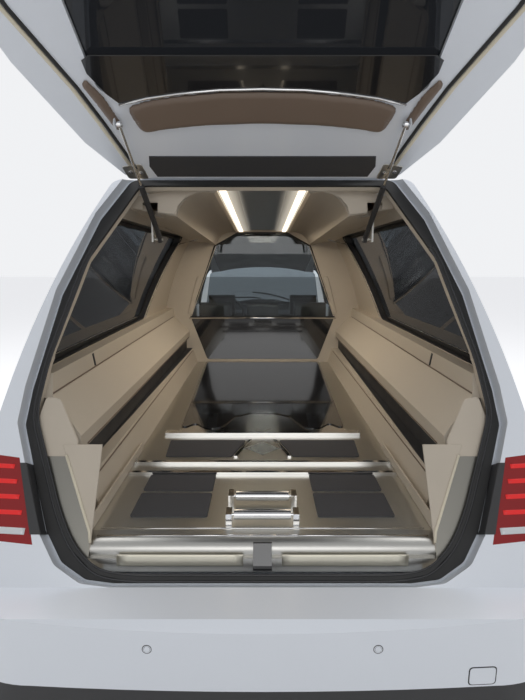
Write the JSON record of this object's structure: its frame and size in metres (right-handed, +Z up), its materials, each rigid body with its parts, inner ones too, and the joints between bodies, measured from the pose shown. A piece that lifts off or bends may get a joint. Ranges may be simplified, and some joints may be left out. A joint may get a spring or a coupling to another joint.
{
  "type": "coachbuilt hearse, five seats, glazed load bay, tailgate open",
  "caption": "Silver-white coachbuilt hearse with its tailgate open on a steel-lined load bay, side glazing, rollers and a cabin behind a glass partition.",
  "frame": {"origin": "on the ground, midway along the vehicle with its tailgate open, on the centre plane", "axes": "+X is the vehicle's right, +Y forward, +Z up"},
  "size_m": [2.092, 6.4849, 2.4947],
  "materials": {
    "body_paint": "silver-white paint with a slight blue cast",
    "black_gloss": "black gloss board or lacquered plastic",
    "black_trim": "grained black plastic",
    "beige": "beige upholstery, smooth grain",
    "steel": "brushed stainless steel",
    "chrome": "polished chrome",
    "glass_dark": "dark tinted glass",
    "glass_clear": "clear glass",
    "lamp_red": "red lamp lens",
    "lamp_clear": "clear lamp lens",
    "light": "warm white light strip",
    "mat": "dark grey ribbed mat",
    "seal": "black rubber seal",
    "tyre": "black tyre rubber",
    "alloy": "silver alloy wheel",
    "iron": "dark cast and forged parts",
    "seat": "black leather",
    "underbody": "dark underbody coating"
  },
  "bodies": {
    "body": {"body_side_left": "body_paint", "body_side_right": "body_paint", "roof_panel": "body_paint", "rear_valance": "black_trim", "deck_board": "black_gloss", "wave_plate": "steel", "floor_pan": "underbody", "front_wings": "body_paint", "front_bumper": "body_paint", "rear_bumper": "body_paint", "tail_panel": "body_paint", "cowl_panel": "black_trim", "grille": "black_trim", "windscreen": "glass_clear", "bay_windows": "glass_dark", "headlamps": "lamp_clear", "tail_lamps": "lamp_red", "door_posts": "black_trim", "seats": "seat", "dashboard": "black_trim", "engine_block": "iron", "front_axle": "iron", "rear_axle": "iron", "load_deck": "steel", "load_sill": "steel", "deck_fittings": "chrome", "deck_mats": "mat", "bay_linings": "beige", "ceiling_lining": "beige", "ceiling_panel": "steel", "light_strips": "light", "partition_frame": "beige", "partition_glass": "glass_clear", "partition_board": "black_gloss", "opening_seal": "seal", "strut_brackets": "steel"},
    "door_front_left": {"door_front_left": "body_paint"},
    "door_front_right": {"door_front_right": "body_paint"},
    "door_rear_left": {"door_rear_left": "body_paint"},
    "door_rear_right": {"door_rear_right": "body_paint"},
    "bonnet": {"bonnet": "body_paint"},
    "tailgate": {"tailgate": "body_paint", "tailgate_glass": "glass_dark", "tailgate_lining": "beige"},
    "strut_tube_left": {"strut_tube_left": "black_trim"},
    "strut_tube_right": {"strut_tube_right": "black_trim"},
    "strut_rod_left": {"strut_rod_left": "chrome"},
    "strut_rod_right": {"strut_rod_right": "chrome"},
    "knuckle_left": {"knuckle_left": "iron"},
    "knuckle_right": {"knuckle_right": "iron"},
    "roller_rear": {"roller_rear": "chrome"},
    "roller_front": {"roller_front": "chrome"},
    "wheel_front_left": {"tyre_front_left": "tyre", "rim_front_left": "alloy"},
    "wheel_front_right": {"tyre_front_right": "tyre", "rim_front_right": "alloy"},
    "wheel_rear_left": {"tyre_rear_left": "tyre", "rim_rear_left": "alloy"},
    "wheel_rear_right": {"tyre_rear_right": "tyre", "rim_rear_right": "alloy"}
  },
  "joints": [
    {"name": "door_front_left_hinge", "type": "hinge", "parent": "body", "child": "door_front_left", "pos_m": [-0.921, 1.81852, 0.65], "axis": [0, 0, -1], "range_deg": [0, 65]},
    {"name": "door_front_right_hinge", "type": "hinge", "parent": "body", "child": "door_front_right", "pos_m": [0.921, 1.81852, 0.65], "axis": [0, 0, 1], "range_deg": [0, 65]},
    {"name": "door_rear_left_hinge", "type": "hinge", "parent": "body", "child": "door_rear_left", "pos_m": [-0.921, 0.79152, 0.65], "axis": [0, 0, -1], "range_deg": [0, 65]},
    {"name": "door_rear_right_hinge", "type": "hinge", "parent": "body", "child": "door_rear_right", "pos_m": [0.921, 0.79152, 0.65], "axis": [0, 0, 1], "range_deg": [0, 65]},
    {"name": "bonnet_hinge", "type": "hinge", "parent": "body", "child": "bonnet", "pos_m": [0, 2.10052, 1.012], "axis": [1, 0, 0], "range_deg": [0, 50]},
    {"name": "tailgate_hinge", "type": "hinge", "parent": "body", "child": "tailgate", "pos_m": [0, -1.98148, 1.83], "axis": [1, 0, 0], "range_deg": [0, 86.2]},
    {"name": "strut_left_pivot", "type": "hinge", "parent": "body", "child": "strut_tube_left", "pos_m": [-0.455, -1.71148, 1.59], "axis": [1, 0, 0], "range_deg": [0, 37.43]},
    {"name": "strut_left_slide", "type": "slide", "parent": "strut_tube_left", "child": "strut_rod_left", "axis": [0, -0.8603, 0.5098], "range_m": [-0.2689, 0]},
    {"name": "strut_right_pivot", "type": "hinge", "parent": "body", "child": "strut_tube_right", "pos_m": [0.455, -1.71148, 1.59], "axis": [1, 0, 0], "range_deg": [0, 37.43]},
    {"name": "strut_right_slide", "type": "slide", "parent": "strut_tube_right", "child": "strut_rod_right", "axis": [0, -0.8603, 0.5098], "range_m": [-0.2689, 0]},
    {"name": "steering_left", "type": "hinge", "parent": "body", "child": "knuckle_left", "pos_m": [-0.78, 2.36852, 0.335], "axis": [0, 0, 1], "range_deg": [-35, 35]},
    {"name": "steering_right", "type": "hinge", "parent": "body", "child": "knuckle_right", "pos_m": [0.78, 2.36852, 0.335], "axis": [0, 0, 1], "range_deg": [-35, 35]},
    {"name": "wheel_front_left_spin", "type": "hinge", "parent": "knuckle_left", "child": "wheel_front_left", "pos_m": [-0.8, 2.36852, 0.335], "axis": [1, 0, 0], "continuous": true},
    {"name": "wheel_front_right_spin", "type": "hinge", "parent": "knuckle_right", "child": "wheel_front_right", "pos_m": [0.8, 2.36852, 0.335], "axis": [1, 0, 0], "continuous": true},
    {"name": "wheel_rear_left_spin", "type": "hinge", "parent": "body", "child": "wheel_rear_left", "pos_m": [-0.8, -1.69148, 0.335], "axis": [1, 0, 0], "continuous": true},
    {"name": "wheel_rear_right_spin", "type": "hinge", "parent": "body", "child": "wheel_rear_right", "pos_m": [0.8, -1.69148, 0.335], "axis": [1, 0, 0], "continuous": true},
    {"name": "roller_rear_spin", "type": "hinge", "parent": "body", "child": "roller_rear", "pos_m": [0, -2.53948, 0.729], "axis": [1, 0, 0], "continuous": true},
    {"name": "roller_front_spin", "type": "hinge", "parent": "body", "child": "roller_front", "pos_m": [0, -2.42148, 0.729], "axis": [1, 0, 0], "continuous": true}
  ],
  "couplings": [
    {"joint": "strut_left_pivot", "follows": "tailgate_hinge", "ratio": 0.4319},
    {"joint": "strut_left_slide", "follows": "tailgate_hinge", "m_per_rad": -0.1781},
    {"joint": "strut_right_pivot", "follows": "tailgate_hinge", "ratio": 0.4319},
    {"joint": "strut_right_slide", "follows": "tailgate_hinge", "m_per_rad": -0.1781},
    {"joint": "steering_right", "follows": "steering_left", "ratio": 1}
  ]
}
